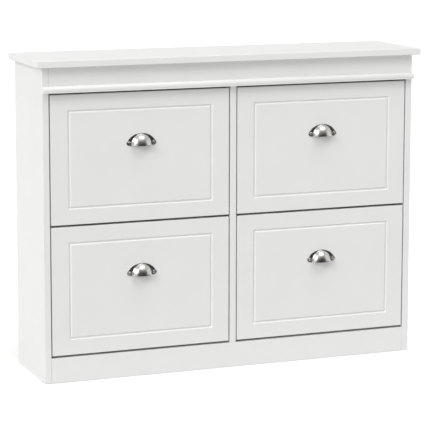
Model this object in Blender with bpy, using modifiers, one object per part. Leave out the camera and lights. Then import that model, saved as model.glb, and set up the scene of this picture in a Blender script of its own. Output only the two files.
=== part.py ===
"""Shoe cabinet with four tip-out flaps, two over two.

Units are metres, +Z is up, the front faces -Y and +X is to the right of someone
who stands in front. The origin is on the floor, under the middle of the cabinet.
Each flap turns about a level axis near its bottom edge and carries a shoe tray.
"""

from math import cos, hypot, pi, radians, sin, sqrt

import bmesh
import bpy
from mathutils import Matrix, Vector

# Carcass
CABINET_WIDTH = 1.100
CABINET_DEPTH = 0.265
CABINET_HEIGHT = 0.885
BOARD = 0.018
PLINTH_HEIGHT = 0.071
FRIEZE_HEIGHT = 0.069
TOP_SIDE_OVERHANG = 0.018
TOP_FRONT_OVERHANG = 0.019
BACK_PANEL = 0.003
REBATE_WIDTH = 0.009
JOINT_GAP = 0.0003
EDGE_ROUND = 0.001

# Moulding that runs along the foot of the frieze
CORNICE_HEIGHT = 0.018
CORNICE_PROJECTION = 0.0155
CORNICE_ROUND = 0.0085
QUIRK_HEIGHT = 0.005
QUIRK_DEPTH = 0.0012

# Flap fronts
FLAP_GAP = 0.006
FLAP_SIDE_GAP = 0.0035
FLAP_RECESS = 0.0015
FLAP_THICKNESS = 0.018
GROOVE_SIDE_INSET = 0.0525
GROOVE_END_INSET = 0.046
GROOVE_WIDTH = 0.008
GROOVE_DEPTH = 0.0035

# Pivot pins, which join each flap to the boards beside it
PIVOT_HEIGHT = 0.012
PIN_RADIUS = 0.003
PIN_COLLAR_RADIUS = 0.0055
PIN_SEAT_DEPTH = 0.007
PIN_REACH = 0.012
PIN_CHAMFER = 0.0008

# Rails behind the top edge of each flap: they stop it both shut and open
RAIL_THICKNESS = 0.018
RAIL_HEIGHT = 0.032
STOP_OVERLAP = 0.004

# Shoe trays
CHEEK_THICKNESS = 0.010
CHEEK_INSET = 0.004
CHEEK_FRONT_HEIGHT = 0.150
CHEEK_FRONT_LEDGE = 0.030
STOP_HORN_LENGTH = 0.014
STOP_HORN_HEIGHT = 0.012
TRAY_REAR_CLEARANCE = 0.0195
TRAY_FLOOR = 0.009
TRAY_BOARD = 0.006
TRAY_DIVIDER_HEIGHT = 0.190

# Cup pulls
PULL_WIDTH = 0.0855
PULL_HEIGHT = 0.034
PULL_DROP = 0.147
PULL_PROJECTION = 0.022
PULL_EAR_SPAN = 0.01425
PULL_RIM = 0.0025
CUP_WALL = 0.0016
PULL_PLATE = 0.0018
CUP_ROOT = 0.0006
EAR_RADIUS = 0.0078

# Fittings that hold the cabinet to the wall and off the floor
BRACKET_LEG = 0.030
BRACKET_WIDTH = 0.020
BRACKET_METAL = 0.002
BRACKET_INSET = 0.070
BRACKET_HOLE_RADIUS = 0.0028
BRACKET_HOLE_DROP = 0.0186
GLIDE_RADIUS = 0.0075
GLIDE_STAND = 0.002
GLIDE_INSET = 0.030

ROUND_STEPS = 16

# Levels and planes that follow from the sizes above
FRONT_REACH = max(TOP_FRONT_OVERHANG, CORNICE_PROJECTION, PULL_PROJECTION - FLAP_RECESS)
FRONT_Y = (FRONT_REACH - CABINET_DEPTH) / 2
BACK_Y = FRONT_Y + CABINET_DEPTH
BACK_PANEL_Y = BACK_Y - BACK_PANEL
SIDE_X = CABINET_WIDTH / 2
INNER_X = SIDE_X - BOARD
UNDER_TOP_Z = CABINET_HEIGHT - BOARD
FRIEZE_Z = UNDER_TOP_Z - FRIEZE_HEIGHT
FLAP_HEIGHT = (FRIEZE_Z - PLINTH_HEIGHT - 3 * FLAP_GAP) / 2
FLAP_PITCH = FLAP_HEIGHT + FLAP_GAP
BAY_WIDTH = INNER_X - BOARD / 2
BAY_CENTRE_X = (INNER_X + BOARD / 2) / 2
FLAP_WIDTH = BAY_WIDTH - 2 * FLAP_SIDE_GAP
PIVOT_Y = FRONT_Y + FLAP_RECESS + FLAP_THICKNESS / 2
HOLE_RADIUS = PIN_RADIUS + JOINT_GAP
CUP_WIDTH = PULL_WIDTH - 2 * PULL_EAR_SPAN
CUP_HEIGHT = PULL_HEIGHT - PULL_RIM

COLUMNS = {"left": -1, "right": 1}
ROWS = {"lower": 0, "upper": 1}


def pivot_z(row):
    return PLINTH_HEIGHT + FLAP_GAP + ROWS[row] * FLAP_PITCH + PIVOT_HEIGHT


# Scene, collections and materials ---------------------------------------------------


def clear_scene():
    for obj in list(bpy.data.objects):
        bpy.data.objects.remove(obj, do_unlink=True)


def new_collection(name):
    collection = bpy.data.collections.new(name)
    bpy.context.scene.collection.children.link(collection)
    return collection


def finish_material(name, colour, roughness, metallic=0.0):
    material = bpy.data.materials.new(name)
    material.use_nodes = True
    shader = material.node_tree.nodes["Principled BSDF"]
    shader.inputs["Base Color"].default_value = (*colour, 1.0)
    shader.inputs["Roughness"].default_value = roughness
    shader.inputs["Metallic"].default_value = metallic
    return material


clear_scene()
PARTS = new_collection("shoe_cabinet")
CUTTERS = new_collection("shoe_cabinet_cutters")

WHITE_LACQUER = finish_material("white_lacquer", (0.80, 0.80, 0.79), 0.42)
WHITE_BOARD = finish_material("white_board", (0.76, 0.76, 0.75), 0.55)
HARDBOARD = finish_material("hardboard", (0.70, 0.69, 0.67), 0.65)
SATIN_NICKEL = finish_material("satin_nickel", (0.62, 0.61, 0.59), 0.28, 1.0)
PIN_STEEL = finish_material("pin_steel", (0.56, 0.56, 0.57), 0.35, 1.0)
ZINC_STEEL = finish_material("zinc_steel", (0.60, 0.61, 0.63), 0.45, 1.0)
GLIDE_PLASTIC = finish_material("glide_plastic", (0.12, 0.12, 0.12), 0.60)


# Shapes that several pieces share ---------------------------------------------------


def add_object(name, mesh, location, material, parent=None, rotation=(0, 0, 0)):
    obj = bpy.data.objects.new(name, mesh)
    obj.location = location
    obj.rotation_euler = rotation
    obj.parent = parent
    if material:
        mesh.materials.append(material)
    PARTS.objects.link(obj)
    return obj


def round_edges(obj, width=EDGE_ROUND, segments=1):
    bevel = obj.modifiers.new("edge_round", "BEVEL")
    bevel.width = width
    bevel.segments = segments
    bevel.limit_method = "ANGLE"
    bevel.angle_limit = radians(40)


def add_board(name, low, high, material, parent=None, edge=EDGE_ROUND):
    """A board between two opposite corners, with its origin at its middle."""
    low, high = Vector(low), Vector(high)
    size = high - low
    shape = bmesh.new()
    bmesh.ops.create_cube(shape, size=1, matrix=Matrix.Diagonal((*size, 1)))
    mesh = bpy.data.meshes.new(name)
    shape.to_mesh(mesh)
    shape.free()
    obj = add_object(name, mesh, (low + high) / 2, material, parent)
    if edge:
        round_edges(obj, edge)
    return obj


def add_outline(name, points, thickness, location, material, parent=None, facing="side"):
    """A flat outline of the given thickness, centred on its location.

    A "side" outline lists (y, z) points and has its thickness along X. A "front"
    outline lists (x, z) points and has its thickness along Y.
    """
    curve = bpy.data.curves.new(name, "CURVE")
    curve.dimensions = "2D"
    curve.fill_mode = "BOTH"
    curve.extrude = thickness / 2
    spline = curve.splines.new("POLY")
    spline.points.add(len(points) - 1)
    for point, (across, up) in zip(spline.points, points):
        point.co = (across, up, 0, 1)
    spline.use_cyclic_u = True
    guide = bpy.data.objects.new(name + "_outline", curve)
    PARTS.objects.link(guide)
    graph = bpy.context.evaluated_depsgraph_get()
    mesh = bpy.data.meshes.new_from_object(guide.evaluated_get(graph))
    mesh.name = name
    bpy.data.objects.remove(guide)
    shape = bmesh.new()
    shape.from_mesh(mesh)
    bmesh.ops.remove_doubles(shape, verts=shape.verts, dist=0.00001)
    shape.to_mesh(mesh)
    shape.free()
    turn = (pi / 2, 0, pi / 2) if facing == "side" else (pi / 2, 0, 0)
    return add_object(name, mesh, location, material, parent, turn)


def add_cylinder(name, radius, length, location, rotation, material=None, parent=None):
    shape = bmesh.new()
    bmesh.ops.create_cone(
        shape, cap_ends=True, segments=ROUND_STEPS, radius1=radius, radius2=radius, depth=length
    )
    mesh = bpy.data.meshes.new(name)
    shape.to_mesh(mesh)
    shape.free()
    obj = add_object(name, mesh, location, material, parent, rotation)
    obj.data.shade_smooth()
    obj.data.set_sharp_from_angle(angle=radians(40))
    return obj


def combine(target, tool, operation):
    """Cuts the tool from the target, or joins it on, and hides the tool."""
    boolean = target.modifiers.new(tool.name, "BOOLEAN")
    boolean.operation = operation
    boolean.solver = "EXACT"
    boolean.object = tool
    PARTS.objects.unlink(tool)
    CUTTERS.objects.link(tool)
    tool.hide_render = True
    tool.display_type = "WIRE"


def cut_round_hole(target, name, location, rotation, radius, depth, parent=None):
    """A hole that runs half its depth each way from the given point."""
    hole = add_cylinder(name, radius, 2 * depth, location, rotation, parent=parent)
    combine(target, hole, "DIFFERENCE")


def arc(centre, radii, start, end, steps):
    """Points of an ellipse's arc between two angles in degrees."""
    angles = [radians(start + (end - start) * step / steps) for step in range(steps + 1)]
    return [(centre[0] + radii[0] * cos(a), centre[1] + radii[1] * sin(a)) for a in angles]


# Carcass ----------------------------------------------------------------------------


def cut_pin_seats(board, face_x, side):
    """Blind holes in one face for the pins of the lower and the upper flap."""
    for row in ROWS:
        cut_round_hole(
            board,
            f"{board.name}_seat_{row}_{side}",
            (face_x, PIVOT_Y, pivot_z(row)),
            (0, pi / 2, 0),
            HOLE_RADIUS,
            PIN_SEAT_DEPTH + JOINT_GAP,
        )


def build_side_panels():
    for column, sign in COLUMNS.items():
        left, right = sorted((sign * INNER_X, sign * SIDE_X))
        panel = add_board(
            f"{column}_side_panel",
            (left, FRONT_Y, GLIDE_STAND),
            (right, BACK_Y, UNDER_TOP_Z - JOINT_GAP),
            WHITE_LACQUER,
        )
        left, right = sorted((sign * (INNER_X - BOARD), sign * (INNER_X + REBATE_WIDTH)))
        rebate = add_board(
            f"{column}_side_panel_rebate",
            (left, BACK_PANEL_Y - JOINT_GAP, PLINTH_HEIGHT - BOARD - JOINT_GAP),
            (right, BACK_Y + BACK_PANEL, CABINET_HEIGHT),
            None,
            edge=0,
        )
        combine(panel, rebate, "DIFFERENCE")
        cut_pin_seats(panel, sign * INNER_X, column)


def build_centre_divider():
    """Stands behind the plinth and the frieze, and shows between the flaps."""
    rear = BACK_PANEL_Y - JOINT_GAP
    behind = FRONT_Y + BOARD + JOINT_GAP
    points = [
        (behind, GLIDE_STAND),
        (rear, GLIDE_STAND),
        (rear, UNDER_TOP_Z - JOINT_GAP),
        (behind, UNDER_TOP_Z - JOINT_GAP),
        (behind, FRIEZE_Z - JOINT_GAP),
        (FRONT_Y, FRIEZE_Z - JOINT_GAP),
        (FRONT_Y, PLINTH_HEIGHT + JOINT_GAP),
        (behind, PLINTH_HEIGHT + JOINT_GAP),
    ]
    divider = add_outline("centre_divider", points, BOARD, (0, 0, 0), WHITE_LACQUER)
    for column, sign in COLUMNS.items():
        cut_pin_seats(divider, sign * BOARD / 2, column)


def build_top_board():
    reach = SIDE_X + TOP_SIDE_OVERHANG
    add_board(
        "top_board",
        (-reach, FRONT_Y - TOP_FRONT_OVERHANG, UNDER_TOP_Z),
        (reach, BACK_Y, CABINET_HEIGHT),
        WHITE_LACQUER,
    )


def build_front_boards():
    reach = INNER_X - JOINT_GAP
    add_board(
        "plinth_board",
        (-reach, FRONT_Y, GLIDE_STAND),
        (reach, FRONT_Y + BOARD, PLINTH_HEIGHT),
        WHITE_LACQUER,
        edge=EDGE_ROUND / 2,
    )
    add_board(
        "frieze_board",
        (-reach, FRONT_Y, FRIEZE_Z),
        (reach, FRONT_Y + BOARD, UNDER_TOP_Z - JOINT_GAP),
        WHITE_LACQUER,
        edge=EDGE_ROUND / 2,
    )


def build_cornice():
    """A strip with a round top edge and a fine step above its bottom edge."""
    back = FRONT_Y - JOINT_GAP
    front = FRONT_Y - CORNICE_PROJECTION
    top = FRIEZE_Z + CORNICE_HEIGHT
    quirk = FRIEZE_Z + QUIRK_HEIGHT
    nose = arc((front + CORNICE_ROUND, top - CORNICE_ROUND), (CORNICE_ROUND,) * 2, 180, 90, 5)
    points = [
        (back, FRIEZE_Z),
        (front + QUIRK_DEPTH / 2, FRIEZE_Z),
        (front + QUIRK_DEPTH / 2, quirk - QUIRK_DEPTH),
        (front + QUIRK_DEPTH, quirk - QUIRK_DEPTH),
        (front + QUIRK_DEPTH, quirk),
        (front, quirk),
        *nose,
        (back, top),
    ]
    add_outline("cornice_moulding", points, CABINET_WIDTH, (0, 0, 0), WHITE_LACQUER)


def bay_ends(sign):
    """The left and right ends of a board that fits between side panel and divider."""
    centre = sign * BAY_CENTRE_X
    half = BAY_WIDTH / 2 - JOINT_GAP
    return centre - half, centre + half


def build_bottom_boards():
    for column, sign in COLUMNS.items():
        left, right = bay_ends(sign)
        add_board(
            f"bottom_board_{column}",
            (left, FRONT_Y + BOARD + JOINT_GAP, PLINTH_HEIGHT - BOARD),
            (right, BACK_PANEL_Y - JOINT_GAP, PLINTH_HEIGHT),
            WHITE_BOARD,
        )


def build_rails():
    """One rail behind the top edge of each flap, which comes to rest against it."""
    front = FRONT_Y + FLAP_RECESS + FLAP_THICKNESS + JOINT_GAP
    names = {"lower": "middle_rail", "upper": "top_rail"}
    for row in ROWS:
        top = pivot_z(row) - PIVOT_HEIGHT + FLAP_HEIGHT
        for column, sign in COLUMNS.items():
            left, right = bay_ends(sign)
            add_board(
                f"{names[row]}_{column}",
                (left, front, top - RAIL_HEIGHT),
                (right, front + RAIL_THICKNESS, top),
                WHITE_BOARD,
            )


def build_back_panels():
    reach = INNER_X + REBATE_WIDTH - JOINT_GAP
    for column, sign in COLUMNS.items():
        ends = sorted((sign * JOINT_GAP / 2, sign * reach))
        panel = add_board(
            f"back_panel_{column}",
            (ends[0], BACK_PANEL_Y, PLINTH_HEIGHT - BOARD),
            (ends[1], BACK_Y, UNDER_TOP_Z - JOINT_GAP),
            HARDBOARD,
            edge=0,
        )
        hole = (sign * (INNER_X - BRACKET_INSET), BACK_Y, UNDER_TOP_Z - BRACKET_HOLE_DROP)
        cut_round_hole(
            panel, f"{panel.name}_hole", hole, (pi / 2, 0, 0), BRACKET_HOLE_RADIUS, 2 * BACK_PANEL
        )


def build_wall_brackets():
    """Steel angles in the top corners at the back, screwed to the top and the wall."""
    rear = BACK_PANEL_Y - JOINT_GAP
    top = UNDER_TOP_Z - JOINT_GAP
    points = [
        (rear, top),
        (rear, top - BRACKET_LEG),
        (rear - BRACKET_METAL, top - BRACKET_LEG),
        (rear - BRACKET_METAL, top - BRACKET_METAL),
        (rear - BRACKET_LEG, top - BRACKET_METAL),
        (rear - BRACKET_LEG, top),
    ]
    for column, sign in COLUMNS.items():
        x = sign * (INNER_X - BRACKET_INSET)
        bracket = add_outline(
            f"wall_bracket_{column}", points, BRACKET_WIDTH, (x, 0, 0), ZINC_STEEL
        )
        wall_hole = (x, rear, UNDER_TOP_Z - BRACKET_HOLE_DROP)
        top_hole = (x, rear - BRACKET_HOLE_DROP, top)
        for leg, place, turn in (("wall", wall_hole, (pi / 2, 0, 0)), ("top", top_hole, (0, 0, 0))):
            hole_name = f"{bracket.name}_{leg}_hole"
            cut_round_hole(bracket, hole_name, place, turn, BRACKET_HOLE_RADIUS, 2 * BRACKET_METAL)


def build_glides():
    """Round glides under the upright boards keep them just off the floor."""
    height = GLIDE_STAND - JOINT_GAP
    front = FRONT_Y + GLIDE_INSET
    rear = BACK_Y - GLIDE_INSET
    spots = {"left": -(SIDE_X - BOARD / 2), "centre": 0.0, "right": SIDE_X - BOARD / 2}
    for side, x in spots.items():
        for place, y in (("front", front), ("rear", rear)):
            add_cylinder(
                f"floor_glide_{side}_{place}",
                GLIDE_RADIUS,
                height,
                (x, y, height / 2),
                (0, 0, 0),
                GLIDE_PLASTIC,
            )


def build_pivot_pin(name, face_x, towards_flap, row):
    """A collared steel pin: its seat is in the board, its journal in the flap."""
    journal_end = FLAP_SIDE_GAP + PIN_REACH
    profile = [
        (0, journal_end),
        (PIN_RADIUS - PIN_CHAMFER, journal_end),
        (PIN_RADIUS, journal_end - PIN_CHAMFER),
        (PIN_RADIUS, FLAP_SIDE_GAP - JOINT_GAP),
        (PIN_COLLAR_RADIUS, FLAP_SIDE_GAP - JOINT_GAP),
        (PIN_COLLAR_RADIUS, JOINT_GAP),
        (PIN_RADIUS, JOINT_GAP),
        (PIN_RADIUS, -PIN_SEAT_DEPTH),
        (0, -PIN_SEAT_DEPTH),
    ]
    mesh = bpy.data.meshes.new(name)
    edges = [(i, i + 1) for i in range(len(profile) - 1)]
    mesh.from_pydata([(radius, 0, along) for radius, along in profile], edges, [])
    location = (face_x, PIVOT_Y, pivot_z(row))
    pin = add_object(name, mesh, location, PIN_STEEL, rotation=(0, towards_flap * pi / 2, 0))
    turn = pin.modifiers.new("turned", "SCREW")
    turn.steps = turn.render_steps = ROUND_STEPS
    turn.use_merge_vertices = True
    turn.merge_threshold = 0.00001


def build_pivot_pins():
    for row in ROWS:
        for column, sign in COLUMNS.items():
            name = f"pivot_pin_{row}_{column}"
            build_pivot_pin(f"{name}_outer", sign * INNER_X, -sign, row)
            build_pivot_pin(f"{name}_inner", sign * BOARD / 2, sign, row)


# Flaps: every place below is measured from the flap's own pivot ----------------------


def cut_panel_groove(flap):
    """A V-groove round a rectangle, which marks off the middle of the front face."""
    outside = GROOVE_DEPTH / 3
    half_width = GROOVE_WIDTH / 2 * (1 + outside / GROOVE_DEPTH)
    depth = GROOVE_DEPTH + outside
    width = FLAP_WIDTH - 2 * GROOVE_SIDE_INSET + 2 * half_width
    height = FLAP_HEIGHT - 2 * GROOVE_END_INSET + 2 * half_width
    shape = bmesh.new()
    face_front = Matrix.Rotation(pi / 2, 4, "X") @ Matrix.Diagonal((width, height, 1, 1))
    bmesh.ops.create_grid(shape, x_segments=1, y_segments=1, size=0.5, matrix=face_front)
    middle = list(shape.faces)
    for slope in (-depth, depth):
        bmesh.ops.inset_region(
            shape,
            faces=middle,
            thickness=half_width,
            depth=slope,
            use_boundary=True,
            use_even_offset=True,
        )
    bmesh.ops.delete(shape, geom=middle, context="FACES_ONLY")
    rims = [edge for edge in shape.edges if edge.is_boundary]
    bmesh.ops.bridge_loops(shape, edges=rims)
    bmesh.ops.recalc_face_normals(shape, faces=shape.faces)
    mesh = bpy.data.meshes.new(flap.name + "_groove")
    shape.to_mesh(mesh)
    shape.free()
    place = flap.location + Vector((0, -FLAP_THICKNESS / 2 - outside, 0))
    combine(flap, add_object(mesh.name, mesh, place, None, flap.parent), "DIFFERENCE")


def build_flap_front(tag, pivot):
    flap = add_board(
        f"flap_front_{tag}",
        (-FLAP_WIDTH / 2, -FLAP_THICKNESS / 2, -PIVOT_HEIGHT),
        (FLAP_WIDTH / 2, FLAP_THICKNESS / 2, FLAP_HEIGHT - PIVOT_HEIGHT),
        WHITE_LACQUER,
        pivot,
    )
    cut_panel_groove(flap)
    for column, sign in COLUMNS.items():
        cut_round_hole(
            flap,
            f"{flap.name}_journal_{column}",
            (sign * FLAP_WIDTH / 2, 0, 0),
            (0, pi / 2, 0),
            HOLE_RADIUS,
            PIN_REACH + JOINT_GAP,
            pivot,
        )


def build_cup_pull(tag, pivot):
    """A half-moon cup, open below, on a plate with a screw ear at each end."""
    base = Vector((0, -FLAP_THICKNESS / 2 - JOINT_GAP, FLAP_HEIGHT - PIVOT_HEIGHT - PULL_DROP))
    ear_x = PULL_WIDTH / 2 - EAR_RADIUS
    ear_z = EAR_RADIUS + CUP_ROOT
    cup_half = CUP_WIDTH / 2 - CUP_WALL / 2
    crown = CUP_HEIGHT - CUP_WALL / 2
    right_ear = arc((ear_x, ear_z), (EAR_RADIUS, EAR_RADIUS), -90, 15, 5)
    left_ear = [(-x, z) for x, z in reversed(right_ear)]
    points = [
        *right_ear,
        *arc((0, 0), (PULL_WIDTH / 2, PULL_HEIGHT), 22, 158, 14),
        *left_ear,
        *arc((0, CUP_ROOT), (cup_half, crown), 180, 0, 14),
    ]
    plate = add_outline(
        f"cup_pull_{tag}",
        points,
        PULL_PLATE,
        base + Vector((0, -PULL_PLATE / 2, 0)),
        SATIN_NICKEL,
        pivot,
        facing="front",
    )
    radii = Vector((CUP_WIDTH / 2, PULL_PROJECTION - JOINT_GAP - CUP_ROOT, CUP_HEIGHT))
    shape = bmesh.new()
    bmesh.ops.create_uvsphere(
        shape, u_segments=24, v_segments=12, radius=1, matrix=Matrix.Diagonal((*radii, 1))
    )
    for outward in ((0, 1, 0), (0, 0, -1)):
        bmesh.ops.bisect_plane(
            shape,
            geom=shape.verts[:] + shape.edges[:] + shape.faces[:],
            plane_co=(0, 0, 0),
            plane_no=outward,
            clear_outer=True,
            dist=0.00001,
        )
    mesh = bpy.data.meshes.new(plate.name + "_cup")
    shape.to_mesh(mesh)
    shape.free()
    cup = add_object(mesh.name, mesh, base + Vector((0, -CUP_ROOT, 0)), None, pivot)
    wall = cup.modifiers.new("wall", "SOLIDIFY")
    wall.thickness = CUP_WALL
    wall.offset = -1
    wall.use_even_offset = True
    combine(plate, cup, "UNION")


def build_tray(tag, pivot):
    """Two cheeks with a floor, a middle board and a back board between them."""
    front = FLAP_THICKNESS / 2 + JOINT_GAP
    rear = BACK_PANEL_Y - TRAY_REAR_CLEARANCE - PIVOT_Y
    rail_rear = FLAP_THICKNESS / 2 + JOINT_GAP + RAIL_THICKNESS
    rail_foot = FLAP_HEIGHT - PIVOT_HEIGHT - RAIL_HEIGHT
    stop_radius = hypot(rail_rear, rail_foot) + STOP_OVERLAP
    horn_top = sqrt(stop_radius**2 - rear**2)
    horn_foot = horn_top - STOP_HORN_HEIGHT
    scoop_start = (rear - STOP_HORN_LENGTH, horn_foot)
    scoop_end = (front + CHEEK_FRONT_LEDGE, CHEEK_FRONT_HEIGHT)
    scoop = arc(
        (scoop_end[0], scoop_start[1]),
        (scoop_start[0] - scoop_end[0], scoop_start[1] - scoop_end[1]),
        0,
        -90,
        8,
    )
    points = [
        (front, -TRAY_FLOOR),
        (rear, -TRAY_FLOOR),
        (rear, horn_top),
        (rear - STOP_HORN_LENGTH, horn_top),
        *scoop,
        (front, CHEEK_FRONT_HEIGHT),
    ]
    cheek_x = FLAP_WIDTH / 2 - CHEEK_INSET - CHEEK_THICKNESS / 2
    for column, sign in COLUMNS.items():
        add_outline(
            f"tray_cheek_{tag}_{column}",
            points,
            CHEEK_THICKNESS,
            (sign * cheek_x, 0, 0),
            WHITE_BOARD,
            pivot,
        )
    reach = cheek_x - CHEEK_THICKNESS / 2 - JOINT_GAP
    add_board(
        f"tray_floor_{tag}",
        (-reach, front, -TRAY_FLOOR),
        (reach, rear, 0),
        WHITE_BOARD,
        pivot,
    )
    back_front = rear - TRAY_BOARD
    middle = (front + back_front) / 2
    add_board(
        f"tray_divider_{tag}",
        (-reach, middle - TRAY_BOARD / 2, JOINT_GAP),
        (reach, middle + TRAY_BOARD / 2, TRAY_DIVIDER_HEIGHT),
        WHITE_BOARD,
        pivot,
    )
    add_board(
        f"tray_back_{tag}",
        (-reach, back_front, JOINT_GAP),
        (reach, rear, horn_foot),
        WHITE_BOARD,
        pivot,
    )


def build_flap(row, column, sign):
    tag = f"{row}_{column}"
    pivot = bpy.data.objects.new(f"pivot_{tag}", None)
    pivot.location = (sign * BAY_CENTRE_X, PIVOT_Y, pivot_z(row))
    PARTS.objects.link(pivot)
    build_flap_front(tag, pivot)
    build_cup_pull(tag, pivot)
    build_tray(tag, pivot)


build_side_panels()
build_centre_divider()
build_top_board()
build_front_boards()
build_cornice()
build_bottom_boards()
build_rails()
build_back_panels()
build_wall_brackets()
build_glides()
build_pivot_pins()
for row_name in ROWS:
    for column_name, column_sign in COLUMNS.items():
        build_flap(row_name, column_name, column_sign)
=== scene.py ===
from math import cos, pi, radians, sin

import bmesh
import bpy
from mathutils import Matrix, Vector


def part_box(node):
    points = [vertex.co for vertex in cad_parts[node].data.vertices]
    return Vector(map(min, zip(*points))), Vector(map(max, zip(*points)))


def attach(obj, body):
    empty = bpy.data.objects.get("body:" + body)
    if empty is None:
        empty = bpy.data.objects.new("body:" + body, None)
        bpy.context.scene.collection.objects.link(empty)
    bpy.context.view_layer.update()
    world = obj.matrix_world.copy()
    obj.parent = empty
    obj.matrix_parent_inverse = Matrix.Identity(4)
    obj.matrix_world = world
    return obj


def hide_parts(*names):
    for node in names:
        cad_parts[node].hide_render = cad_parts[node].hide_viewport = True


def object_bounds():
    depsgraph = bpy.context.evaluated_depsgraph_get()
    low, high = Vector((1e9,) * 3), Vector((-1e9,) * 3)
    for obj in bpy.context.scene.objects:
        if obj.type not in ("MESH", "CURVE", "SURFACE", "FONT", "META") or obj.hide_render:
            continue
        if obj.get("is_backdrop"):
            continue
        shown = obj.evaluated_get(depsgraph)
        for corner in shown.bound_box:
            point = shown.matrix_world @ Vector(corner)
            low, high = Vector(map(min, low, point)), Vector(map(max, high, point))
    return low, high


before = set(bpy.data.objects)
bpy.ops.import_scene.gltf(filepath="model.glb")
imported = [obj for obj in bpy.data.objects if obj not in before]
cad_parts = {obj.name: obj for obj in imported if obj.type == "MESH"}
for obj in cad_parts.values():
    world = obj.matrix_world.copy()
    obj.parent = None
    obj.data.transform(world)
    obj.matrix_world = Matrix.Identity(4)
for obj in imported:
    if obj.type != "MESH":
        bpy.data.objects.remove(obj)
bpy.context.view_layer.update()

# Camera -------------------------------------------------------------------------------
# A long lens stands five metres off, left of the cabinet and above its top, and looks a
# little down on it. Its shift is slight, so the cabinet stays whole from other angles.

SENSOR_WIDTH = 36.0
LENS_LENGTH = 167.17
LENS_SHIFT = -0.0791
CAMERA_PLACE = (-2.0624, -5.2092, 1.3880)
CAMERA_TURN = -21.537
CAMERA_DIP = 8.869
CAMERA_ROLL = 0.079

lens = bpy.data.cameras.new("camera")
lens.sensor_width = SENSOR_WIDTH
lens.lens = LENS_LENGTH
lens.shift_y = LENS_SHIFT
camera = bpy.data.objects.new("camera", lens)
camera.matrix_world = (
    Matrix.Translation(CAMERA_PLACE)
    @ Matrix.Rotation(radians(CAMERA_TURN), 4, "Z")
    @ Matrix.Rotation(radians(90 - CAMERA_DIP), 4, "X")
    @ Matrix.Rotation(radians(CAMERA_ROLL), 4, "Z")
)
bpy.context.scene.collection.objects.link(camera)
bpy.context.scene.camera = camera
bpy.context.scene.view_settings.view_transform = "Standard"

# Studio -------------------------------------------------------------------------------
# A plain white floor in a white room that is brighter below than above. Soft suns shine from
# the left, from high in front and from high behind. A black cloth and a white card give the
# metal something to mirror, and nothing else sees them.

FLOOR_SIZE = 60.0
FLOOR_WHITE = 0.92
FLOOR_GLOW = 0.15
CLOTH_LEFT = -3.0
CLOTH_RIGHT = 3.2
CLOTH_NEAR = -0.45
CLOTH_FAR = -3.4
CLOTH_TOP = 3.2
CLOTH_LIFT = 0.002
CLOTH_BLACK = 0.005
CLOTH_GLOW = 0.40
CARD_MIDDLE = (3.3, -1.9, 1.2)
CARD_HALF = 1.5
CARD_GLOW = 0.95
ROOM_BELOW = 0.78
ROOM_ABOVE = 0.49
HORIZON_BLUR = 0.15
SUNS = [
    ("left_light", (-0.78, -0.42, 0.47), 25, 1.48),
    ("high_light", (0.12, -0.40, 0.90), 40, 1.17),
    ("rear_light", (0.0, 0.60, 0.80), 60, 0.60),
]


def floor_white():
    material = bpy.data.materials.new("floor_white")
    material.use_nodes = True
    shader = material.node_tree.nodes["Principled BSDF"]
    shader.inputs["Base Color"].default_value = (FLOOR_WHITE, FLOOR_WHITE, FLOOR_WHITE, 1.0)
    shader.inputs["Roughness"].default_value = 0.9
    shader.inputs["Emission Color"].default_value = (1.0, 1.0, 1.0, 1.0)
    shader.inputs["Emission Strength"].default_value = FLOOR_GLOW
    return material


def set_up(name, sheet, material):
    """Stands a sheet in the studio. It throws no light back on the cabinet."""
    mesh = bpy.data.meshes.new(name)
    sheet.to_mesh(mesh)
    sheet.free()
    mesh.materials.append(material)
    item = bpy.data.objects.new(name, mesh)
    item.visible_diffuse = False
    bpy.context.scene.collection.objects.link(item)
    item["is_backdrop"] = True
    return item


def lay_floor():
    sheet = bmesh.new()
    bmesh.ops.create_grid(sheet, x_segments=1, y_segments=1, size=FLOOR_SIZE)
    set_up("studio_floor", sheet, floor_white())


def glowing(name):
    material = bpy.data.materials.new(name)
    material.use_nodes = True
    nodes, links = material.node_tree.nodes, material.node_tree.links
    nodes.clear()
    glow = nodes.new("ShaderNodeEmission")
    out = nodes.new("ShaderNodeOutputMaterial")
    links.new(glow.outputs[0], out.inputs["Surface"])
    return material, nodes, links, glow


def hang_cloth():
    """A black cloth on the floor in front, which rises further off and pales towards its top."""
    sheet = bmesh.new()
    bmesh.ops.create_grid(sheet, x_segments=1, y_segments=2, size=1.0)
    rows = {1: (CLOTH_NEAR, CLOTH_LIFT), 0: (CLOTH_FAR, CLOTH_LIFT), -1: (CLOTH_FAR, CLOTH_TOP)}
    for vert in sheet.verts:
        side = CLOTH_LEFT if vert.co.x < 0 else CLOTH_RIGHT
        vert.co = (side, *rows[round(vert.co.y)])
    material, nodes, links, glow = glowing("black_cloth")
    place = nodes.new("ShaderNodeTexCoord")
    split = nodes.new("ShaderNodeSeparateXYZ")
    ramp = nodes.new("ShaderNodeMapRange")
    ramp.inputs["From Min"].default_value = CLOTH_TOP / 4
    ramp.inputs["From Max"].default_value = CLOTH_TOP
    ramp.inputs["To Min"].default_value = CLOTH_BLACK
    ramp.inputs["To Max"].default_value = CLOTH_GLOW
    links.new(place.outputs["Object"], split.inputs[0])
    links.new(split.outputs["Z"], ramp.inputs["Value"])
    links.new(ramp.outputs[0], glow.inputs["Strength"])
    cloth = set_up("studio_cloth", sheet, material)
    cloth.visible_camera = False
    cloth.visible_shadow = False


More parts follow.
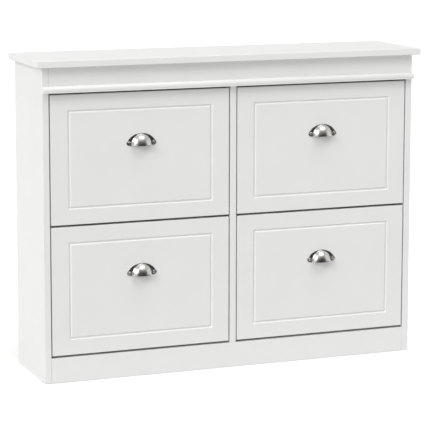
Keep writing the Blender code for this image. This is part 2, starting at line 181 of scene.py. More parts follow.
def stand_card():
    """A white card on the right."""
    sheet = bmesh.new()
    upright = Matrix.Translation(CARD_MIDDLE) @ Matrix.Rotation(pi / 2, 4, "Y")
    bmesh.ops.create_grid(sheet, x_segments=1, y_segments=1, size=CARD_HALF, matrix=upright)
    material, _, _, glow = glowing("white_card")
    glow.inputs["Strength"].default_value = CARD_GLOW
    card = set_up("studio_card", sheet, material)
    card.visible_camera = False
    card.visible_shadow = False


def light_room():
    """White all round, with one strength below the horizon and another above it."""
    world = bpy.data.worlds.new("studio")
    world.use_nodes = True
    nodes, links = world.node_tree.nodes, world.node_tree.links
    place = nodes.new("ShaderNodeTexCoord")
    split = nodes.new("ShaderNodeSeparateXYZ")
    ramp = nodes.new("ShaderNodeMapRange")
    ramp.inputs["From Min"].default_value = -HORIZON_BLUR
    ramp.inputs["From Max"].default_value = HORIZON_BLUR
    ramp.inputs["To Min"].default_value = ROOM_BELOW
    ramp.inputs["To Max"].default_value = ROOM_ABOVE
    links.new(place.outputs["Generated"], split.inputs[0])
    links.new(split.outputs["Z"], ramp.inputs["Value"])
    room = nodes["Background"]
    room.inputs["Color"].default_value = (1.0, 1.0, 1.0, 1.0)
    links.new(ramp.outputs[0], room.inputs["Strength"])
    bpy.context.scene.world = world


def shine(name, from_direction, angle, strength):
    """A soft light from very far off, which falls alike on the cabinet and the whole floor."""
    light = bpy.data.lights.new(name, "SUN")
    light.angle = radians(angle)
    light.energy = strength
    lamp = bpy.data.objects.new(name, light)
    lamp.rotation_euler = Vector(from_direction).to_track_quat("Z", "Y").to_euler()
    lamp.visible_camera = False
    bpy.context.scene.collection.objects.link(lamp)


lay_floor()
hang_cloth()
stand_card()
light_room()
for name, from_direction, angle, strength in SUNS:
    shine(name, from_direction, angle, strength)

# Side panels --------------------------------------------------------------------------
# The two outer uprights, of 18 mm fibreboard: sawn, eased along every edge and sprayed
# with white satin lacquer. A rebate takes the back, and blind holes take the flap pins.

EASED_EDGE = 0.0011
SAW_GAP = 0.0003
SAW_OVERRUN = 0.01
PIN_HOLE_RADIUS = 0.0033
BACK_REBATE = 0.009


def sawn_block(low, high):
    """A square-edged block between its lowest and its highest corner."""
    shape = bmesh.new()
    low, high = Vector(low), Vector(high)
    place = Matrix.Translation((low + high) / 2) @ Matrix.Diagonal((*(high - low), 1.0))
    bmesh.ops.create_cube(shape, size=1.0, matrix=place)
    return shape


def ease_edges(shape, width, segments=3, sharper_than=30):
    """Rounds the sharp edges over. The flats stay flat, and only the rounding is smooth."""
    corners = [
        edge for edge in shape.edges
        if edge.is_manifold and edge.calc_face_angle() > radians(sharper_than)
    ]
    rounded = bmesh.ops.bevel(
        shape, geom=corners, offset=width, affect="EDGES", segments=segments,
        profile=0.5, material=-1, clamp_overlap=True,
    )
    for face in rounded["faces"]:
        face.smooth = True


def make_piece(name, shape, *materials):
    mesh = bpy.data.meshes.new(name)
    shape.to_mesh(mesh)
    shape.free()
    for material in materials:
        mesh.materials.append(material)
    piece = bpy.data.objects.new(name, mesh)
    bpy.context.scene.collection.objects.link(piece)
    return piece


def cut_away(piece, *shapes):
    """Takes each shape out of the piece."""
    for shape in shapes:
        tool = make_piece(piece.name + "_cut", shape)
        saw = piece.modifiers.new("cut", "BOOLEAN")
        saw.operation = "DIFFERENCE"
        saw.solver = "EXACT"
        saw.object = tool
        graph = bpy.context.evaluated_depsgraph_get()
        uncut = piece.data
        piece.data = bpy.data.meshes.new_from_object(piece.evaluated_get(graph))
        piece.modifiers.clear()
        bpy.data.meshes.remove(uncut)
        bpy.data.objects.remove(tool)
    piece.data.name = piece.name


def drill_along(axis, low, high, radius):
    """A round drill between two points on one axis, to be taken out of a piece."""
    low, high = Vector(low), Vector(high)
    turn = {"X": Matrix.Rotation(pi / 2, 4, "Y"), "Y": Matrix.Rotation(pi / 2, 4, "X")}
    shape = bmesh.new()
    bmesh.ops.create_cone(
        shape, cap_ends=True, segments=32, radius1=radius, radius2=radius,
        depth=(high - low).length,
        matrix=Matrix.Translation((low + high) / 2) @ turn.get(axis, Matrix.Identity(4)),
    )
    return shape


def pin_drill(pin):
    """The hole for one pivot pin, a shade longer and wider than the pin itself."""
    low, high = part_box(pin)
    middle = (low + high) / 2
    start = Vector((low.x - SAW_GAP, middle.y, middle.z))
    end = Vector((high.x + SAW_GAP, middle.y, middle.z))
    return drill_along("X", start, end, PIN_HOLE_RADIUS)


def fit(piece, body, finish, *nodes):
    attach(piece, body)
    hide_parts(*nodes)


def add_noise(material, scale, detail, stretch=(1.0, 1.0, 1.0)):
    """Noise laid on a piece's own coordinates, in cycles to the metre."""
    nodes, links = material.node_tree.nodes, material.node_tree.links
    place = nodes.new("ShaderNodeTexCoord")
    mapping = nodes.new("ShaderNodeMapping")
    mapping.inputs["Scale"].default_value = stretch
    noise = nodes.new("ShaderNodeTexNoise")
    noise.inputs["Scale"].default_value = scale
    noise.inputs["Detail"].default_value = detail
    links.new(place.outputs["Object"], mapping.inputs["Vector"])
    links.new(mapping.outputs["Vector"], noise.inputs["Vector"])
    return noise.outputs["Fac"]


def spread(material, value, low, high, start=0.3, end=0.7):
    """Brings a noise value to a range of its own."""
    ramp = material.node_tree.nodes.new("ShaderNodeMapRange")
    ramp.inputs["From Min"].default_value = start
    ramp.inputs["From Max"].default_value = end
    ramp.inputs["To Min"].default_value = low
    ramp.inputs["To Max"].default_value = high
    material.node_tree.links.new(value, ramp.inputs["Value"])
    return ramp.outputs["Result"]


def tint(material, value, first, second, start=0.3, end=0.7):
    """Two colours, with a noise value to say where each lies."""
    mix = material.node_tree.nodes.new("ShaderNodeMix")
    mix.data_type = "RGBA"
    mix.inputs["A"].default_value = (*first, 1.0)
    mix.inputs["B"].default_value = (*second, 1.0)
    share = spread(material, value, 0.0, 1.0, start, end)
    material.node_tree.links.new(share, mix.inputs["Factor"])
    return mix.outputs["Result"]


def emboss(material, value, depth, under=None):
    """A bump of the given depth in metres, over another one if there is one."""
    bump = material.node_tree.nodes.new("ShaderNodeBump")
    bump.inputs["Strength"].default_value = 1.0
    bump.inputs["Distance"].default_value = depth
    material.node_tree.links.new(value, bump.inputs["Height"])
    if under:
        material.node_tree.links.new(under, bump.inputs["Normal"])
    return bump.outputs["Normal"]


def new_finish(name, metallic=0.0):
    material = bpy.data.materials.new(name)
    material.use_nodes = True
    shader = material.node_tree.nodes["Principled BSDF"]
    shader.inputs["Metallic"].default_value = metallic
    return material, shader


def mix_lacquer():
    """White satin lacquer: a fine spray texture over the faint unevenness of sanded board."""
    material, shader = new_finish("white_satin_lacquer")
    links = material.node_tree.links
    cloud = add_noise(material, 9.0, 3.0)
    board = add_noise(material, 60.0, 3.0)
    spray = add_noise(material, 750.0, 2.0)
    colour = tint(material, cloud, (0.795, 0.795, 0.787), (0.812, 0.811, 0.802))
    links.new(colour, shader.inputs["Base Color"])
    links.new(spread(material, board, 0.36, 0.44), shader.inputs["Roughness"])
    sanded = emboss(material, board, 0.00002)
    links.new(emboss(material, spray, 0.000006, sanded), shader.inputs["Normal"])
    return material


lacquer = mix_lacquer()

for side, inner_face in (("left", 1), ("right", -1)):
    low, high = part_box(f"{side}_side_panel")
    shape = sawn_block(low, high)
    ease_edges(shape, EASED_EDGE)
    panel = make_piece(f"{side}_panel", shape, lacquer)
    back_low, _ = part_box(f"back_panel_{side}")
    inner_x = high.x if inner_face == 1 else low.x
    rebate_x = inner_x - inner_face * BACK_REBATE
    rebate_ends = sorted((rebate_x, inner_x + inner_face * SAW_OVERRUN))
    rebate = sawn_block(
        (rebate_ends[0], back_low.y - SAW_GAP, back_low.z - SAW_GAP),
        (rebate_ends[1], high.y + SAW_OVERRUN, high.z + SAW_OVERRUN),
    )
    drills = [pin_drill(f"pivot_pin_{row}_{side}_outer") for row in ("lower", "upper")]
    cut_away(panel, rebate, *drills)
    fit(panel, "carcass", "white_lacquer", f"{side}_side_panel")

# Centre divider -----------------------------------------------------------------------
# The middle upright, of the same lacquered board. It is notched to stand behind the
# plinth and the frieze, so that only its front edge shows between the flaps.


def sawn_outline(points, thickness, towards):
    """A flat outline of points in space, made as thick as it is told towards one side."""
    shape = bmesh.new()
    outline = shape.faces.new([shape.verts.new(point) for point in points])
    pushed = bmesh.ops.extrude_face_region(shape, geom=[outline])
    moved = [item for item in pushed["geom"] if isinstance(item, bmesh.types.BMVert)]
    bmesh.ops.translate(shape, verts=moved, vec=Vector(towards) * thickness)
    bmesh.ops.recalc_face_normals(shape, faces=shape.faces)
    return shape


low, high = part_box("centre_divider")
_, plinth_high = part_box("plinth_board")
frieze_low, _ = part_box("frieze_board")
behind = plinth_high.y + SAW_GAP
divider_outline = [
    (behind, low.z),
    (high.y, low.z),
    (high.y, high.z),
    (behind, high.z),
    (behind, frieze_low.z - SAW_GAP),
    (low.y, frieze_low.z - SAW_GAP),
    (low.y, plinth_high.z + SAW_GAP),
    (behind, plinth_high.z + SAW_GAP),
]
shape = sawn_outline([(low.x, y, z) for y, z in divider_outline], high.x - low.x, (1, 0, 0))
ease_edges(shape, EASED_EDGE)
divider = make_piece("middle_panel", shape, lacquer)
drills = [
    pin_drill(f"pivot_pin_{row}_{column}_inner")
    for row in ("lower", "upper") for column in ("left", "right")
]
cut_away(divider, *drills)
fit(divider, "carcass", "white_lacquer", "centre_divider")

# Bottom boards and rails --------------------------------------------------------------
# Inside boards of white melamine-faced chipboard, glued and dowelled between the uprights.
# The rails lie behind the top edges of the flaps and stop them, both shut and open.

CHIPBOARD_EDGE = 0.0006


def press_melamine():
    """Melamine foil, pressed with a fine dry grain."""
    material, shader = new_finish("white_melamine")
    links = material.node_tree.links
    cloud = add_noise(material, 14.0, 2.0)
    pores = add_noise(material, 1400.0, 2.0, (0.35, 1.0, 1.0))
    colour = tint(material, cloud, (0.745, 0.745, 0.737), (0.772, 0.771, 0.762))
    links.new(colour, shader.inputs["Base Color"])
    links.new(spread(material, pores, 0.48, 0.60), shader.inputs["Roughness"])
    links.new(emboss(material, pores, 0.00001), shader.inputs["Normal"])
    return material


melamine = press_melamine()


def fit_board(name, node, body, material, finish, edge):
    shape = sawn_block(*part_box(node))
    ease_edges(shape, edge)
    fit(make_piece(name, shape, material), body, finish, node)


for column in ("left", "right"):
    for node in ("bottom_board", "middle_rail", "top_rail"):
        fit_board(f"{node}_board_{column}", f"{node}_{column}", "carcass", melamine,
                  "white_board", CHIPBOARD_EDGE)

# Plinth, frieze and top ---------------------------------------------------------------
# The front boards stand flush with the edges of the side panels, with a hairline joint at
# each end. The top lies over everything and juts out in front and at both sides.

FRONT_JOINT_EDGE = 0.0006
TOP_EDGE = 0.0014

fit_board("plinth", "plinth_board", "carcass", lacquer, "white_lacquer", FRONT_JOINT_EDGE)
fit_board("frieze", "frieze_board", "carcass", lacquer, "white_lacquer", FRONT_JOINT_EDGE)
fit_board("top", "top_board", "carcass", lacquer, "white_lacquer", TOP_EDGE)

# Cornice moulding ---------------------------------------------------------------------
# A strip of moulded fibreboard, glued along the foot of the frieze from side to side. Its
# top edge is a round nose, and a fine quirk is cut along its front above the flaps.

NOSE_RADIUS = 0.0085
QUIRK_HEIGHT = 0.005
QUIRK_DEPTH = 0.0012
NOSE_STEPS = 14
MOULDING_EDGE = 0.0003
FLAT_ENOUGH = 0.05


def quarter_round(across, up, radius, start, end, steps):
    """Points of an arc between two angles in degrees."""
    turns = [radians(start + (end - start) * step / steps) for step in range(steps + 1)]
    return [(across + radius * cos(turn), up + radius * sin(turn)) for turn in turns]


low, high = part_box("cornice_moulding")
quirk = low.z + QUIRK_HEIGHT
cornice_profile = [
    (high.y, low.z),
    (low.y + QUIRK_DEPTH / 2, low.z),
    (low.y + QUIRK_DEPTH / 2, quirk - QUIRK_DEPTH),
    (low.y + QUIRK_DEPTH, quirk - QUIRK_DEPTH),
    (low.y + QUIRK_DEPTH, quirk),
    (low.y, quirk),
    *quarter_round(low.y + NOSE_RADIUS, high.z - NOSE_RADIUS, NOSE_RADIUS, 180, 90, NOSE_STEPS),
    (high.y, high.z),
]
shape = sawn_outline([(low.x, y, z) for y, z in cornice_profile], high.x - low.x, (1, 0, 0))
for face in shape.faces:
    face.smooth = abs(face.normal.y) > FLAT_ENOUGH and abs(face.normal.z) > FLAT_ENOUGH
ease_edges(shape, MOULDING_EDGE, segments=2)
fit(make_piece("cornice", shape, lacquer), "carcass", "white_lacquer", "cornice_moulding")

# Back panels --------------------------------------------------------------------------
# Thin hardboard, painted white on the inside and left brown behind. It is pinned into the
# rebates with flat-headed nails, and a hole in the top corner lets the wall screw through.

NAIL_RADIUS = 0.0022
NAIL_RISE = 0.0003
NAIL_INSET = 0.0048
NAIL_SPACING = 0.115
WALL_HOLE_RADIUS = 0.0028
ANGLE_HOLE_DROP = 0.0183
WELD_REACH = 0.000001


def press_hardboard():
    """Bare hardboard: brown felted fibres with darker specks."""
    material, shader = new_finish("bare_hardboard")
    links = material.node_tree.links
    fibres = add_noise(material, 420.0, 6.0, (1.0, 1.0, 0.4))
    patches = add_noise(material, 22.0, 4.0)
    dark = tint(material, fibres, (0.235, 0.150, 0.088), (0.335, 0.225, 0.140))
    light = tint(material, fibres, (0.290, 0.190, 0.115), (0.385, 0.268, 0.172))
    mix = material.node_tree.nodes.new("ShaderNodeMix")
    mix.data_type = "RGBA"
    links.new(dark, mix.inputs["A"])
    links.new(light, mix.inputs["B"])
    links.new(spread(material, patches, 0.0, 1.0), mix.inputs["Factor"])
    links.new(mix.outputs["Result"], shader.inputs["Base Color"])
    links.new(spread(material, fibres, 0.62, 0.80), shader.inputs["Roughness"])
    links.new(emboss(material, fibres, 0.00005), shader.inputs["Normal"])
    return material


def paint_hardboard():
    """The painted face: thin white paint that the fibres still show through."""
    material, shader = new_finish("painted_hardboard")
    links = material.node_tree.links
    fibres = add_noise(material, 300.0, 4.0)
    colour = tint(material, fibres, (0.69, 0.68, 0.66), (0.735, 0.725, 0.705))
    links.new(colour, shader.inputs["Base Color"])
    links.new(spread(material, fibres, 0.55, 0.70), shader.inputs["Roughness"])
    links.new(emboss(material, fibres, 0.00003), shader.inputs["Normal"])
    return material


def plate_zinc():
    """Bright zinc plate with its faint frosting."""
    material, shader = new_finish("zinc_plate", 1.0)
    links = material.node_tree.links
    frost = add_noise(material, 260.0, 3.0)
    grains = add_noise(material, 1800.0, 2.0)
    colour = tint(material, frost, (0.56, 0.57, 0.59), (0.66, 0.67, 0.69))
    links.new(colour, shader.inputs["Base Color"])
    links.new(spread(material, grains, 0.34, 0.50), shader.inputs["Roughness"])
    links.new(emboss(material, grains, 0.00001), shader.inputs["Normal"])
    return material


hardboard_back = press_hardboard()
hardboard_face = paint_hardboard()
zinc = plate_zinc()


def evenly(start, end, spacing):
    """Places from start to end, about the given spacing apart."""
    count = max(1, round((end - start) / spacing))
    return [start + (end - start) * step / count for step in range(count + 1)]


def nail_places(low, high):
    xs = evenly(low.x + NAIL_INSET, high.x - NAIL_INSET, NAIL_SPACING)
    zs = evenly(low.z + NAIL_INSET, high.z - NAIL_INSET, NAIL_SPACING)
    rows = [(x, z) for x in xs for z in (zs[0], zs[-1])]
    return rows + [(x, z) for z in zs[1:-1] for x in (xs[0], xs[-1])]


def lathe(profile, steps, place):
    """Spins (radius, height) points round +Z, and lays the closed shape at its place."""
    shape = bmesh.new()
    corners = [shape.verts.new((radius, 0.0, height)) for radius, height in profile]
    edges = [shape.edges.new(pair) for pair in zip(corners, corners[1:])]
    bmesh.ops.spin(
        shape, geom=corners + edges, cent=(0, 0, 0), axis=(0, 0, 1), angle=2 * pi,
        steps=steps, use_merge=True, use_duplicate=False,
    )
    bmesh.ops.remove_doubles(shape, verts=shape.verts, dist=WELD_REACH)
    bmesh.ops.recalc_face_normals(shape, faces=shape.faces)
    bmesh.ops.transform(shape, matrix=place, verts=shape.verts)
    smooth_between_corners(shape)
    return shape


def smooth_between_corners(shape, sharper_than=35):
    for face in shape.faces:
        face.smooth = True
    for edge in shape.edges:
        edge.smooth = edge.is_manifold and edge.calc_face_angle() < radians(sharper_than)


def together(shapes):
    """Several shapes gathered into one piece."""
    whole = bmesh.new()
    for shape in shapes:
        mesh = bpy.data.meshes.new("gathered")
        shape.to_mesh(mesh)
        shape.free()
        whole.from_mesh(mesh)
        bpy.data.meshes.remove(mesh)
    return whole


TO_THE_BACK = Matrix.Rotation(-pi / 2, 4, "X")
nail_head = [
    (0.0, NAIL_RISE),
    (NAIL_RADIUS * 0.7, NAIL_RISE * 0.9),
    (NAIL_RADIUS, NAIL_RISE * 0.3),
    (NAIL_RADIUS * 0.9, -NAIL_RISE),
    (0.0, -NAIL_RISE),
]
for column in ("left", "right"):
    low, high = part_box(f"back_panel_{column}")
    rear = high.y - NAIL_RISE
    shape = sawn_block(low, (high.x, rear, high.z))
    for face in shape.faces:
        face.material_index = 0 if face.normal.y < -0.5 else 1
    panel = make_piece(f"back_{column}", shape, hardboard_face, hardboard_back)
    angle_low, angle_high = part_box(f"wall_bracket_{column}")
    hole_x = (angle_low.x + angle_high.x) / 2
    hole_z = angle_high.z - ANGLE_HOLE_DROP
    hole = drill_along("Y", (hole_x, low.y - SAW_OVERRUN, hole_z),
                       (hole_x, high.y + SAW_OVERRUN, hole_z), WALL_HOLE_RADIUS)
    cut_away(panel, hole)
    fit(panel, "carcass", "hardboard", f"back_panel_{column}")
    nails = [
        lathe(nail_head, 12, Matrix.Translation((x, rear, z)) @ TO_THE_BACK)
        for x, z in nail_places(low, high)
    ]
    nails = make_piece(f"back_nails_{column}", together(nails), zinc)
    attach(nails, "carcass")

# Wall angles --------------------------------------------------------------------------
# Two zinc-plated angles in the top corners, bent from strip and punched for screws. Each
# is screwed up into the top; its other screw goes through the back into the wall.

STRIP = 0.002
BEND_RADIUS = 0.0022
ANGLE_HOLE_RADIUS = 0.0028
SCREW_HEAD_RADIUS = 0.0042
SCREW_HEAD_RISE = 0.0021
SCREW_SHANK_RADIUS = 0.0019
SCREW_LENGTH = 0.013
CROSS_LENGTH = 0.0042
CROSS_WIDTH = 0.0008
CROSS_DEPTH = 0.0011
HEAD_STEPS = 5
HEAD_SEAT = 0.0001


def cross_recess(place, length, width, depth, rise):
    """The two crossed slots of a screw head that faces +Z before it is placed."""
    slots = []
    for turn in (0, pi / 2):
        slot = sawn_block((-length / 2, -width / 2, rise - depth), (length / 2, width / 2, rise * 2))
        bmesh.ops.rotate(slot, verts=slot.verts, matrix=Matrix.Rotation(turn, 3, "Z"))
        bmesh.ops.transform(slot, matrix=place, verts=slot.verts)
        slots.append(slot)
    return slots


def drive_screw(name, place, radius, rise, shank, length, material):
    """A domed screw with a cross recess, whose head sits on the plane z = 0 of its place."""
    dome = [
        (radius * sin(pi / 2 * step / HEAD_STEPS), rise * cos(pi / 2 * step / HEAD_STEPS))
        for step in range(HEAD_STEPS + 1)
    ]
    profile = [*dome, (radius, -HEAD_SEAT), (shank, -HEAD_SEAT), (shank, shank - length),
               (0.0, -length)]
    screw = make_piece(name, lathe(profile, 24, place), material)
    cut_away(screw, *cross_recess(place, CROSS_LENGTH * radius / SCREW_HEAD_RADIUS, CROSS_WIDTH,
                                  CROSS_DEPTH, rise))
    return screw


for column in ("left", "right"):
    low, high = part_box(f"wall_bracket_{column}")
    outer = quarter_round(high.y - BEND_RADIUS, high.z - BEND_RADIUS, BEND_RADIUS, 0, 90, 6)
    inner_radius = BEND_RADIUS / 2
    inner = quarter_round(high.y - STRIP - inner_radius, high.z - STRIP - inner_radius,
                          inner_radius, 90, 0, 6)
    bent = [(high.y, low.z), *outer, (low.y, high.z), (low.y, high.z - STRIP), *inner,
            (high.y - STRIP, low.z)]
    shape = sawn_outline([(low.x, y, z) for y, z in bent], high.x - low.x, (1, 0, 0))
    smooth_between_corners(shape)
    for face in shape.faces:
        face.smooth = abs(face.normal.y) > FLAT_ENOUGH and abs(face.normal.z) > FLAT_ENOUGH
    middle = (low.x + high.x) / 2
    hole_y, hole_z = high.y - ANGLE_HOLE_DROP, high.z - ANGLE_HOLE_DROP
    wall_hole = drill_along("Y", (middle, high.y - SAW_OVERRUN, hole_z),
                            (middle, high.y + SAW_OVERRUN, hole_z), ANGLE_HOLE_RADIUS)
    top_hole = drill_along("Z", (middle, hole_y, high.z - SAW_OVERRUN),
                           (middle, hole_y, high.z + SAW_OVERRUN), ANGLE_HOLE_RADIUS)
    angle = make_piece(f"wall_angle_{column}", shape, zinc)
    cut_away(angle, wall_hole, top_hole)
    fit(angle, "carcass", "zinc_steel", f"wall_bracket_{column}")
    under_strip = Matrix.Translation((middle, hole_y, high.z - STRIP - HEAD_SEAT))
    screw = drive_screw(f"wall_angle_screw_{column}", under_strip @ Matrix.Rotation(pi, 4, "X"),
                        SCREW_HEAD_RADIUS, SCREW_HEAD_RISE, SCREW_SHANK_RADIUS, SCREW_LENGTH, zinc)
    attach(screw, "carcass")

# Floor glides -------------------------------------------------------------------------
# Six round black glides, moulded with a soft rim and a dimple for the nail that holds them
# to the uprights.

GLIDE_RIM = 0.0007
GLIDE_DIMPLE = 0.0026
DIMPLE_FOOT = 0.8
DIMPLE_TOP = 0.4
RIM_STEPS = 5


def mould_plastic():
    material, shader = new_finish("black_glide_plastic")
    links = material.node_tree.links
    grain = add_noise(material, 1600.0, 2.0)
    links.new(tint(material, grain, (0.030, 0.030, 0.030), (0.050, 0.050, 0.050)),
              shader.inputs["Base Color"])
    links.new(spread(material, grain, 0.45, 0.62), shader.inputs["Roughness"])
    links.new(emboss(material, grain, 0.00002), shader.inputs["Normal"])
    return material


glide_plastic = mould_plastic()

for column in ("left", "centre", "right"):
    for row in ("front", "rear"):
        low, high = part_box(f"floor_glide_{column}_{row}")
        radius = (high.x - low.x) / 2
        height = high.z - low.z
        rim = quarter_round(radius - GLIDE_RIM, -height + GLIDE_RIM, GLIDE_RIM, 0, -90, RIM_STEPS)
        profile = [(0.0, 0.0), (radius, 0.0), *rim, (GLIDE_DIMPLE, -height),
                   (GLIDE_DIMPLE * DIMPLE_FOOT, -height * DIMPLE_TOP), (0.0, -height * DIMPLE_TOP)]
        place = Matrix.Translation(((low.x + high.x) / 2, (low.y + high.y) / 2, high.z))
        glide = make_piece(f"glide_{column}_{row}", lathe(profile, 32, place), glide_plastic)
        fit(glide, "carcass", "glide_plastic", f"floor_glide_{column}_{row}")

# Pivot pins ---------------------------------------------------------------------------
# A turned steel pin at each end of every flap. Its seat is pressed into the upright, its
# collar fills the gap, and its round-nosed journal carries the flap.

PIN_RADIUS = 0.003
PIN_NOSE = 0.0012
PIN_SEAT = 0.007
SEAT_CHAMFER = 0.0004
COLLAR_EASE = 0.0004
FLAP_SIDE_GAP = 0.0035


def turn_steel():
    """Bright steel with the fine rings that a lathe leaves."""
    material, shader = new_finish("turned_steel", 1.0)
    links = material.node_tree.links
    rings = add_noise(material, 900.0, 2.0, (4.0, 0.05, 0.05))
    links.new(tint(material, rings, (0.50, 0.50, 0.51), (0.62, 0.62, 0.63)),
              shader.inputs["Base Color"])
    links.new(spread(material, rings, 0.26, 0.42), shader.inputs["Roughness"])
    links.new(emboss(material, rings, 0.000008), shader.inputs["Normal"])
    return material


steel = turn_steel()


def pin_profile(length, collar_radius, collar_rise):
    """From the nose of the journal to the foot of the seat, with the collar between."""
    nose = quarter_round(PIN_RADIUS - PIN_NOSE, length - PIN_NOSE, PIN_NOSE, 90, 0, 5)
    ease = COLLAR_EASE
    return [
        (0.0, length), *nose,
        (PIN_RADIUS, PIN_SEAT + collar_rise),
        *quarter_round(collar_radius - ease, PIN_SEAT + collar_rise - ease, ease, 90, 0, 3),
        *quarter_round(collar_radius - ease, PIN_SEAT + SAW_GAP + ease, ease, 0, -90, 3),
        (PIN_RADIUS, PIN_SEAT + SAW_GAP),
        (PIN_RADIUS, SEAT_CHAMFER), (PIN_RADIUS - SEAT_CHAMFER, 0.0), (0.0, 0.0),
    ]


for row in ("lower", "upper"):
    for column in ("left", "right"):
        for end in ("outer", "inner"):
            node = f"pivot_pin_{row}_{column}_{end}"
            low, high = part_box(node)
            points_right = (column == "left") == (end == "outer")
            seat_x = low.x if points_right else high.x
            turn = Matrix.Rotation(pi / 2 if points_right else -pi / 2, 4, "Y")
            place = Matrix.Translation((seat_x, (low.y + high.y) / 2, (low.z + high.z) / 2))
            profile = pin_profile(high.x - low.x, (high.z - low.z) / 2, FLAP_SIDE_GAP - SAW_GAP)
            pin = make_piece(f"pin_{row}_{column}_{end}", lathe(profile, 32, place @ turn), steel)
            fit(pin, "carcass", "pin_steel", node)

# Flap fronts --------------------------------------------------------------------------
# Four fronts of 18 mm fibreboard, lacquered like the carcass. A router has run a V-groove
# round a rectangle in each, with softened lips, and the ends are bored for the pins.

GROOVE_SIDE_INSET = 0.0525
GROOVE_END_INSET = 0.046
GROOVE_HALF = 0.004
GROOVE_DEPTH = 0.0035
LIP = 0.0005
MITRE_RUN = 0.00001


def rout_groove(shape):
    """Sinks the V-groove into the front face by one narrow inset after another, and keeps
    the mitres at its corners sharp."""
    front = min(shape.faces, key=lambda face: face.normal.y * face.calc_area())
    middle_x = front.calc_center_median().x
    across_and_down = [
        (GROOVE_HALF + LIP / 2, 0.0),
        (GROOVE_HALF, LIP / 4),
        (GROOVE_HALF - LIP / 2, LIP * 0.75),
        (LIP * 0.6, GROOVE_DEPTH - LIP * 0.4),
        (0.0, GROOVE_DEPTH),
    ]
    across_and_down += [(-across, down) for across, down in reversed(across_and_down[:-1])]
    first = GROOVE_END_INSET - EASED_EDGE - across_and_down[0][0]
    bmesh.ops.inset_region(shape, faces=[front], thickness=first, use_even_offset=True)
    for vert in front.verts:
        inwards = 1 if vert.co.x < middle_x else -1
        vert.co.x += inwards * (GROOVE_SIDE_INSET - GROOVE_END_INSET)
    for (here, down_here), (there, down_there) in zip(across_and_down, across_and_down[1:]):
        cut = bmesh.ops.inset_region(
            shape, faces=[front], thickness=here - there, depth=down_here - down_there,
            use_even_offset=True,
        )
        for face in cut["faces"]:
            face.smooth = True
    for edge in shape.edges:
        run = edge.verts[1].co - edge.verts[0].co
        edge.smooth = min(abs(run.x), abs(run.z)) <= MITRE_RUN


for row in ("lower", "upper"):
    for column in ("left", "right"):
        tag = f"{row}_{column}"
        shape = sawn_block(*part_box(f"flap_front_{tag}"))
        ease_edges(shape, EASED_EDGE)
        rout_groove(shape)
        front = make_piece(f"front_{tag}", shape, lacquer)
        cut_away(front, *(pin_drill(f"pivot_pin_{tag}_{end}") for end in ("outer", "inner")))
        fit(front, f"flap_{tag}", "white_lacquer", f"flap_front_{tag}")

# Cup pulls ----------------------------------------------------------------------------
# Half-moon cups, cast and plated with satin nickel. The cup swells out of a thin plate
# through a small fillet, is open below for the fingers, and has a screw ear at each side.

PLATE = 0.0018
CUP_WALL = 0.0016
CUP_SIDE = 0.01425
CUP_RIM = 0.0025
CUP_FOOT = 0.0006
EAR_RADIUS = 0.0078
FILLET = 0.0012
CUP_LIP = 0.0006
EAR_END = 15
CROWN_START = 22
EAR_STEPS = 7
CROWN_STEPS = 34
DOME_RINGS = 14
FILLET_RINGS = 5
PLATE_RINGS = 3
PULL_SCREW_RADIUS = 0.0040
PULL_SCREW_RISE = 0.0017


def plate_nickel():
    """Satin nickel: a bright plate, brushed too finely to see the strokes."""
    material, shader = new_finish("satin_nickel_plate", 1.0)
    links = material.node_tree.links
    satin = add_noise(material, 1500.0, 3.0, (0.3, 1.0, 1.0))
    haze = add_noise(material, 90.0, 2.0)
    links.new(tint(material, haze, (0.68, 0.67, 0.64), (0.74, 0.73, 0.70)),
              shader.inputs["Base Color"])
    links.new(spread(material, satin, 0.25, 0.34), shader.inputs["Roughness"])
    links.new(emboss(material, satin, 0.000002), shader.inputs["Normal"])
    return material


nickel = plate_nickel()


def plate_outline(half_width, height):
    """From the foot of the right ear, over the crown, to the foot of the left ear."""
    ear = quarter_round(half_width - EAR_RADIUS, CUP_FOOT + EAR_RADIUS, EAR_RADIUS, -90,
                        EAR_END, EAR_STEPS)
    sweep = 180 - 2 * CROWN_START
    turns = [radians(CROWN_START + sweep * step / CROWN_STEPS) for step in range(CROWN_STEPS + 1)]
    crown = [(half_width * cos(turn), height * sin(turn)) for turn in turns]
    return [*ear, *crown, *((-x, z) for x, z in reversed(ear))]


def cup_station(ring, swell):
    """Share of the way to the cup's foot, distance past it, and rise off the plate."""
    dome_end = (1 - (FILLET / swell) ** 2) ** 0.5
    if ring <= DOME_RINGS:
        share = dome_end * sin(pi / 2 * ring / DOME_RINGS)
        return share, 0.0, swell * (1 - share ** 2) ** 0.5
    turn = min(1.0, (ring - DOME_RINGS) / FILLET_RINGS) * pi / 2
    return 1.0, FILLET * (1 - cos(turn)), FILLET * (1 - sin(turn))


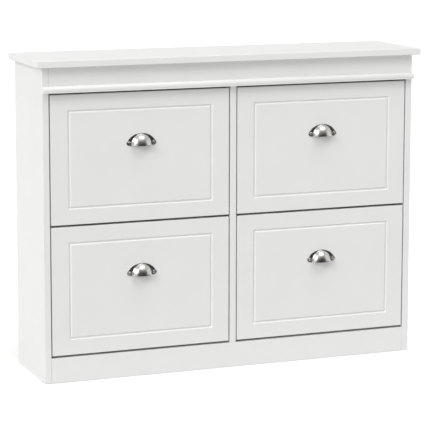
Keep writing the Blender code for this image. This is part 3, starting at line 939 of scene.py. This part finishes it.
def cast_cup(low, high):
    """An open sheet: a grid whose rows run from the tip of the cup to the plate's edge."""
    half_width, height = (high.x - low.x) / 2, high.z - low.z
    swell = high.y - low.y - PLATE
    outline = plate_outline(half_width, height)
    foot_x, foot_z = half_width - CUP_SIDE, height - CUP_RIM - CUP_FOOT
    around, rings = len(outline) - 1, DOME_RINGS + FILLET_RINGS + PLATE_RINGS
    shape = bmesh.new()
    bmesh.ops.create_grid(shape, x_segments=around, y_segments=rings, size=0.5)
    for vert in shape.verts:
        step, ring = round((vert.co.x + 0.5) * around), round((vert.co.y + 0.5) * rings)
        turn = pi * step / around
        foot = Vector((foot_x * cos(turn), CUP_FOOT + foot_z * sin(turn)))
        edge = Vector(outline[step])
        share, past, rise = cup_station(ring, swell)
        spot = Vector((foot.x * share, CUP_FOOT + (foot.y - CUP_FOOT) * share))
        fillet_end = foot + (edge - foot).normalized() * past
        if ring > DOME_RINGS:
            spread_out = max(0, ring - DOME_RINGS - FILLET_RINGS) / PLATE_RINGS
            spot = fillet_end.lerp(edge, spread_out)
        vert.co = ((low.x + high.x) / 2 + spot.x, high.y - PLATE - rise, low.z + spot.y)
    bmesh.ops.remove_doubles(shape, verts=shape.verts, dist=WELD_REACH)
    if sum(face.normal.y for face in shape.faces) > 0:
        bmesh.ops.reverse_faces(shape, faces=shape.faces)
    for face in shape.faces:
        face.smooth = True
    return shape


def give_wall(piece, thickness, edge):
    """Thickens an open sheet on its inner side and rounds its lip."""
    wall = piece.modifiers.new("wall", "SOLIDIFY")
    wall.thickness = thickness
    wall.offset = -1
    wall.use_even_offset = True
    lip = piece.modifiers.new("lip", "BEVEL")
    lip.width = edge
    lip.segments = 3
    lip.limit_method = "ANGLE"
    lip.angle_limit = radians(50)


for row in ("lower", "upper"):
    for column in ("left", "right"):
        tag = f"{row}_{column}"
        low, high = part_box(f"cup_pull_{tag}")
        pull = make_piece(f"pull_{tag}", cast_cup(low, high), nickel)
        give_wall(pull, CUP_WALL, CUP_LIP)
        fit(pull, f"flap_{tag}", "satin_nickel", f"cup_pull_{tag}")
        for end, ear_x in (("left", low.x + EAR_RADIUS), ("right", high.x - EAR_RADIUS)):
            ear = (ear_x, high.y - PLATE - HEAD_SEAT, low.z + CUP_FOOT + EAR_RADIUS)
            place = Matrix.Translation(ear) @ Matrix.Rotation(pi / 2, 4, "X")
            screw = drive_screw(f"pull_screw_{tag}_{end}", place, PULL_SCREW_RADIUS,
                                PULL_SCREW_RISE, SCREW_SHANK_RADIUS, SCREW_LENGTH, nickel)
            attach(screw, f"flap_{tag}")

# Shoe trays ---------------------------------------------------------------------------
# Behind each front hangs a tray of melamine board. Two cheeks, scooped low in front and
# horned at the back to meet the rail, hold a floor, a low middle board and a back.

CHEEK_FRONT = 0.159
CHEEK_LEDGE = 0.030
HORN_LENGTH = 0.014
HORN_HEIGHT = 0.012
SCOOP_STEPS = 28
SCOOP_FLAT = 0.001

for row in ("lower", "upper"):
    for column in ("left", "right"):
        tag = f"{row}_{column}"
        for end in ("left", "right"):
            node = f"tray_cheek_{tag}_{end}"
            low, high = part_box(node)
            ledge_y, ledge_z = low.y + CHEEK_LEDGE, low.z + CHEEK_FRONT
            horn_y, horn_z = high.y - HORN_LENGTH, high.z - HORN_HEIGHT
            turns = [pi / 2 * step / SCOOP_STEPS for step in range(SCOOP_STEPS + 1)]
            scoop = [
                (ledge_y + (horn_y - ledge_y) * cos(turn), horn_z + (ledge_z - horn_z) * sin(turn))
                for turn in turns
            ]
            cheek_outline = [(low.y, low.z), (high.y, low.z), (high.y, high.z), (horn_y, high.z),
                             *scoop, (low.y, ledge_z)]
            shape = sawn_outline([(low.x, y, z) for y, z in cheek_outline], high.x - low.x,
                                 (1, 0, 0))
            for face in shape.faces:
                face.smooth = abs(face.normal.y) > SCOOP_FLAT and abs(face.normal.z) > SCOOP_FLAT
            ease_edges(shape, CHIPBOARD_EDGE)
            cheek = make_piece(f"cheek_{tag}_{end}", shape, melamine)
            fit(cheek, f"flap_{tag}", "white_board", node)
        for board in ("tray_floor", "tray_divider", "tray_back"):
            fit_board(f"{board}_board_{tag}", f"{board}_{tag}", f"flap_{tag}", melamine,
                      "white_board", CHIPBOARD_EDGE)

# Sizes --------------------------------------------------------------------------------

low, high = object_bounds()
